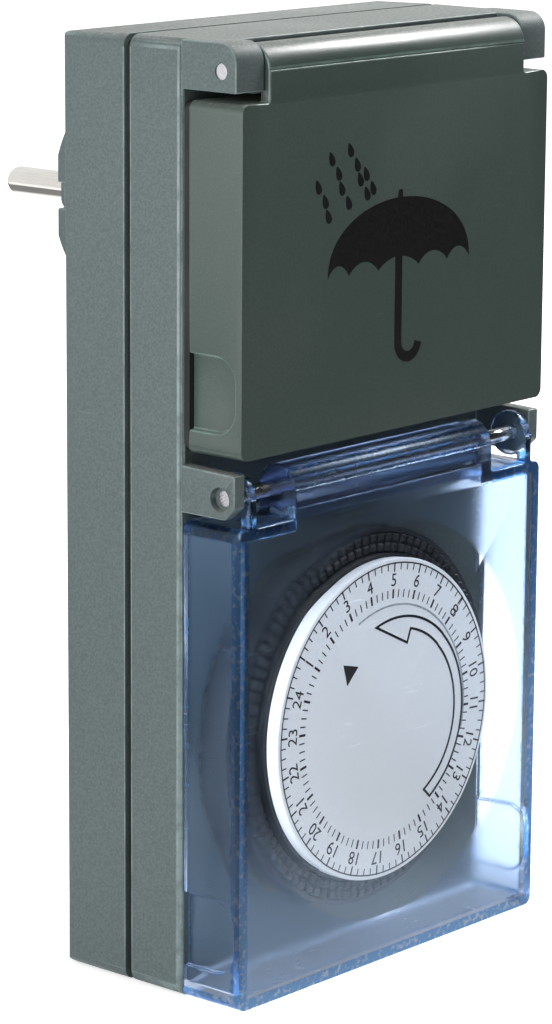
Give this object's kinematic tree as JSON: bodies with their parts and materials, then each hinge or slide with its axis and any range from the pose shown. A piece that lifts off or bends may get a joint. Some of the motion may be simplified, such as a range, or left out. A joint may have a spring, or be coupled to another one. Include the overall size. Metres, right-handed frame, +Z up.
{
  "type": "plug in timer switch",
  "caption": "Outdoor plug-in timer switch: a socket under a sprung lid above a day dial with push-in segments behind a clear hinged cover, with a round two-pin plug at the rear.",
  "frame": {"origin": "midway between the two plug pins, on the face of the raised bar round them", "axes": "+X to the right seen from the front, +Y rearwards along the plug pins, +Z up"},
  "size_m": [0.075, 0.0757, 0.15],
  "materials": {
    "case_grey_green": "fine spark-eroded texture",
    "lid_dark_green": "fine spark-eroded texture",
    "seal_black": "soft matte",
    "screw_zinc": "zinc plated",
    "plug_black": "moulded",
    "pin_nickel": "nickel plated",
    "contact_brass": "stamped",
    "copper": "bare copper alloy",
    "shutter_white": "moulded",
    "cover_clear": "clear bluish polycarbonate",
    "dial_white": "printed",
    "drum_black": "moulded",
    "steel": "ground",
    "gear_white": "moulded acetal",
    "plate_brass": "stamped sheet",
    "can_steel": "drawn sheet",
    "winding_copper": "enamelled wire",
    "magnet_black": "ferrite",
    "wire_brown": "insulation",
    "wire_blue": "insulation"
  },
  "bodies": {
    "housing": {"rear_case": "case_grey_green", "front_case": "case_grey_green", "case_seal": "seal_black", "case_screws": "screw_zinc", "plug_insert": "plug_black", "plug_pin_left": "pin_nickel", "plug_pin_right": "pin_nickel", "plug_earth_clips": "pin_nickel", "earth_strap": "pin_nickel", "socket_insert": "lid_dark_green", "socket_screws": "screw_zinc", "shutter_spring": "steel", "contact_carrier": "plug_black", "live_contact": "contact_brass", "neutral_contact": "contact_brass", "neutral_bar": "copper", "lid_pin": "steel", "lid_spring": "steel", "cover_pin": "steel", "dial_spindle": "steel", "dial_retainer": "screw_zinc", "movement_plate_front": "plate_brass", "movement_plate_rear": "plate_brass", "plate_pillars": "plate_brass", "movement_screws": "screw_zinc", "idler_axle": "steel", "gearbox_housing": "gear_white", "motor_can": "can_steel", "coil_bobbin": "gear_white", "coil_winding": "winding_copper", "follower_axle": "steel", "switch_body": "plug_black", "switch_cover": "plug_black", "fixed_contact": "copper", "blade_terminal": "copper", "live_wire_in": "wire_brown", "live_wire_out": "wire_brown", "motor_lead_live": "wire_brown", "motor_lead_neutral": "wire_blue"},
    "shutter": {"shutter": "shutter_white"},
    "lid": {"socket_lid": "lid_dark_green", "lid_seal": "seal_black"},
    "timer_cover": {"timer_cover": "cover_clear"},
    "dial": {"dial_drum": "drum_black", "drum_gear": "drum_black", "dial_face": "dial_white"},
    "segments_night": {"segments_night": "drum_black"},
    "segments_early": {"segments_early": "drum_black"},
    "segments_day": {"segments_day": "drum_black"},
    "segments_late": {"segments_late": "drum_black"},
    "idler": {"idler_pinion": "gear_white", "idler_wheel": "gear_white"},
    "drive": {"drive_pinion": "contact_brass", "output_shaft": "steel", "output_wheel": "contact_brass"},
    "rotor": {"rotor_magnet": "magnet_black", "rotor_shaft": "steel"},
    "follower": {"cam_follower": "gear_white"},
    "switch_button": {"switch_button": "gear_white"},
    "switch_blade": {"switch_blade": "copper"}
  },
  "joints": [
    {"name": "lid_hinge", "type": "hinge", "parent": "housing", "child": "lid", "pos_m": [0, -0.055, 0.0252], "axis": [-1, 0, 0], "range_deg": [0, 105], "stiffness_Nm_per_rad": 0.03, "springref_deg": -28.65},
    {"name": "timer_cover_hinge", "type": "hinge", "parent": "housing", "child": "timer_cover", "pos_m": [0, -0.055, -0.03945], "axis": [-1, 0, 0], "range_deg": [0, 100]},
    {"name": "shutter_slide", "type": "slide", "parent": "housing", "child": "shutter", "axis": [0, 0, 1], "range_m": [0, 0.0065], "stiffness_N_per_m": 120, "springref_m": -0.004, "deforming": ["shutter_spring"]},
    {"name": "dial_spin", "type": "hinge", "parent": "housing", "child": "dial", "pos_m": [0, -0.0492, -0.0811], "axis": [0, -1, 0], "continuous": true},
    {"name": "idler_spin", "type": "hinge", "parent": "housing", "child": "idler", "pos_m": [0, -0.0412, -0.05135], "axis": [0, -1, 0], "continuous": true},
    {"name": "drive_pinion_spin", "type": "hinge", "parent": "housing", "child": "drive", "pos_m": [0, -0.0362, -0.06635], "axis": [0, -1, 0], "continuous": true},
    {"name": "rotor_spin", "type": "hinge", "parent": "housing", "child": "rotor", "pos_m": [0, -0.0282, -0.07835], "axis": [0, -1, 0], "continuous": true},
    {"name": "segments_night_press", "type": "slide", "parent": "dial", "child": "segments_night", "axis": [0, 1, 0], "range_m": [0, 0.002]},
    {"name": "segments_early_press", "type": "slide", "parent": "dial", "child": "segments_early", "axis": [0, 1, 0], "range_m": [0, 0.002]},
    {"name": "segments_day_press", "type": "slide", "parent": "dial", "child": "segments_day", "axis": [0, 1, 0], "range_m": [0, 0.002]},
    {"name": "segments_late_press", "type": "slide", "parent": "dial", "child": "segments_late", "axis": [0, 1, 0], "range_m": [0, 0.002]},
    {"name": "follower_hinge", "type": "hinge", "parent": "housing", "child": "follower", "pos_m": [-0.0288, -0.0432, -0.056], "axis": [1, 0, 0], "range_deg": [0, 3.5]},
    {"name": "switch_button_slide", "type": "slide", "parent": "housing", "child": "switch_button", "axis": [0, 1, 0], "range_m": [0, 0.00062]},
    {"name": "switch_blade_hinge", "type": "hinge", "parent": "housing", "child": "switch_blade", "pos_m": [-0.0288, -0.03808, -0.058], "axis": [1, 0, 0], "range_deg": [0, 4.4]}
  ],
  "couplings": [
    {"joint": "idler_spin", "follows": "dial_spin", "ratio": -6},
    {"joint": "drive_pinion_spin", "follows": "dial_spin", "ratio": 24},
    {"joint": "follower_hinge", "follows": "segments_night_press", "rad_per_m": 30.5},
    {"joint": "switch_button_slide", "follows": "segments_night_press", "ratio": 0.305},
    {"joint": "switch_blade_hinge", "follows": "segments_night_press", "rad_per_m": 38.1}
  ]
}
